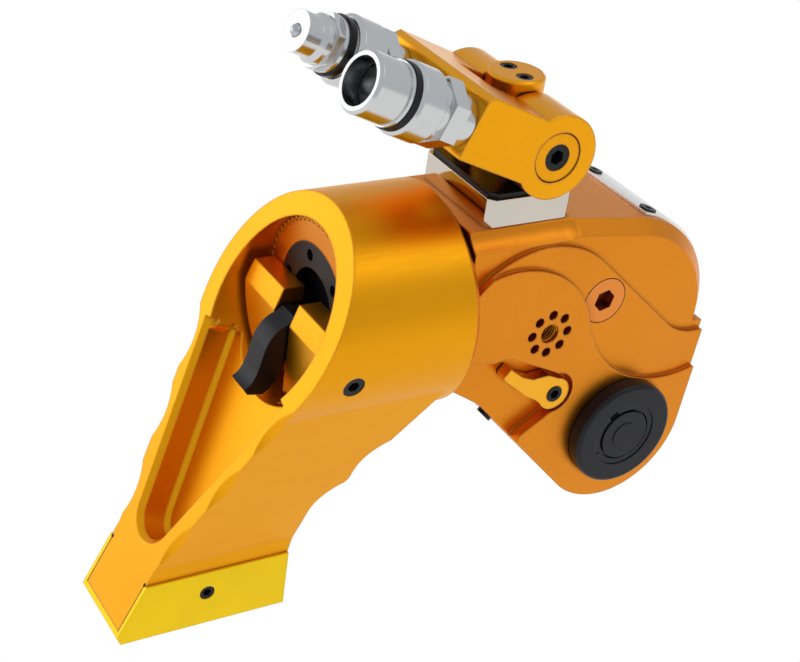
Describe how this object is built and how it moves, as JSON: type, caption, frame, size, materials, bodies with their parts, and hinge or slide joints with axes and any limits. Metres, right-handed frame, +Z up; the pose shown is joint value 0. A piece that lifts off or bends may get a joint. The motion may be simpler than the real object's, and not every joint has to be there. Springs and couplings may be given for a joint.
{
  "type": "hydraulic torque wrench",
  "caption": "Square-drive hydraulic torque wrench: ratchet housing with cylinder, splined reaction arm with shoe, and a two-axis hose swivel with quick couplers.",
  "frame": {"origin": "on the drive axis at the middle plane of the housing", "axes": "+X to the rear, away from the reaction arm; +Y along the square drive; -Y to the capped side; +Z up, from the drive to the hose swivel"},
  "size_m": [0.2421, 0.102, 0.2275],
  "materials": {
    "gold_anodised": "golden satin anodised",
    "yellow_shoe": "clean yellow satin",
    "black_steel": "black oxide",
    "polished_steel": "mirror polished",
    "zinc_plate": "bright zinc plate",
    "bare_steel": "ground steel",
    "copper_plug": "copper coloured, turned",
    "bronze": "turned bronze",
    "black_rubber": "glossy black seal"
  },
  "bodies": {
    "housing": {"housing": "gold_anodised", "access_plug": "copper_plug", "belly_screw": "black_steel", "shroud": "polished_steel", "shroud_screws": "black_steel", "end_nut": "black_steel", "latch_block": "gold_anodised", "latch_pin": "bare_steel", "latch_spring": "bare_steel", "rod_gland": "bronze", "bushings": "bronze", "swivel_base": "polished_steel", "swivel_seal": "black_rubber"},
    "reaction_arm": {"reaction_arm": "gold_anodised", "arm_set_screw": "black_steel", "reaction_shoe": "yellow_shoe", "shoe_screws": "black_steel"},
    "latch_lever": {"latch_lever": "black_steel"},
    "drive": {"ratchet": "bare_steel", "square_drive": "bare_steel", "retainer_cap": "black_steel", "retainer_clip": "black_steel", "button_spring": "bare_steel"},
    "drive_lever": {"drive_plates": "bare_steel", "rod_pin": "bare_steel", "pawl_pins": "bare_steel", "drive_pawl_spring": "bare_steel"},
    "piston": {"piston_rod": "bare_steel", "piston_seal": "black_rubber"},
    "drive_pawl": {"drive_pawl": "bare_steel"},
    "retainer_button": {"retainer_button": "black_steel"},
    "reaction_pawl": {"reaction_pawl": "bare_steel", "pawl_shaft": "bare_steel", "release_lever": "gold_anodised", "lever_screw": "black_steel"},
    "swivel_post": {"swivel_post": "gold_anodised", "post_plugs": "black_steel"},
    "yoke": {"yoke": "gold_anodised", "pivot_pins": "gold_anodised", "pivot_screws": "black_steel", "female_body": "zinc_plate", "female_ring": "black_steel", "female_nose": "zinc_plate", "female_poppet": "bare_steel", "male_body": "zinc_plate", "male_ring": "zinc_plate", "male_seal": "black_rubber", "male_ball": "bare_steel"},
    "female_collar": {"female_collar": "zinc_plate"}
  },
  "joints": [
    {"name": "drive_turn", "type": "hinge", "parent": "housing", "child": "drive", "pos_m": [0, 0, 0], "axis": [0, 1, 0], "range_deg": [0, 28]},
    {"name": "lever_swing", "type": "hinge", "parent": "housing", "child": "drive_lever", "pos_m": [0, 0, 0], "axis": [0, 1, 0], "range_deg": [0, 28.2]},
    {"name": "piston_stroke", "type": "slide", "parent": "housing", "child": "piston", "axis": [1, 0, 0], "range_m": [0, 0.0287]},
    {"name": "pawl_lift", "type": "slide", "parent": "drive_lever", "child": "drive_pawl", "axis": [-0.2419, 0, 0.9703], "range_m": [0, 0.0025], "stiffness_N_per_m": 800, "springref_m": -0.003, "deforming": ["drive_pawl_spring"]},
    {"name": "button_press", "type": "slide", "parent": "drive", "child": "retainer_button", "axis": [0, 1, 0], "range_m": [0, 0.0025], "stiffness_N_per_m": 900, "springref_m": -0.003, "deforming": ["button_spring"]},
    {"name": "pawl_release", "type": "hinge", "parent": "housing", "child": "reaction_pawl", "pos_m": [-0.0352, 0, 0.023], "axis": [0, 1, 0], "range_deg": [0, 9], "stiffness_Nm_per_rad": 0.3, "springref_deg": -11.46},
    {"name": "latch_press", "type": "hinge", "parent": "housing", "child": "latch_lever", "pos_m": [-0.1341, 0, 0.055], "axis": [0, 1, 0], "range_deg": [-10, 0], "stiffness_Nm_per_rad": 0.3, "springref_deg": 11.46, "deforming": ["latch_spring"]},
    {"name": "arm_slide", "type": "slide", "parent": "housing", "child": "reaction_arm", "axis": [1, 0, 0], "range_m": [-0.05, 0]},
    {"name": "swivel_turn", "type": "hinge", "parent": "housing", "child": "swivel_post", "pos_m": [-0.0545, 0, 0.105], "axis": [0, 0, 1], "continuous": true},
    {"name": "swivel_pitch", "type": "hinge", "parent": "swivel_post", "child": "yoke", "pos_m": [-0.0545, 0, 0.124], "axis": [0, 1, 0], "range_deg": [-23.8, 156.2]},
    {"name": "collar_pull", "type": "slide", "parent": "yoke", "child": "female_collar", "axis": [0.915, 0, -0.4035], "range_m": [0, 0.0035], "stiffness_N_per_m": 700, "springref_m": -0.003}
  ],
  "couplings": [
    {"joint": "lever_swing", "follows": "drive_turn", "ratio": 1},
    {"joint": "piston_stroke", "follows": "drive_turn", "m_per_rad": 0.058415}
  ]
}
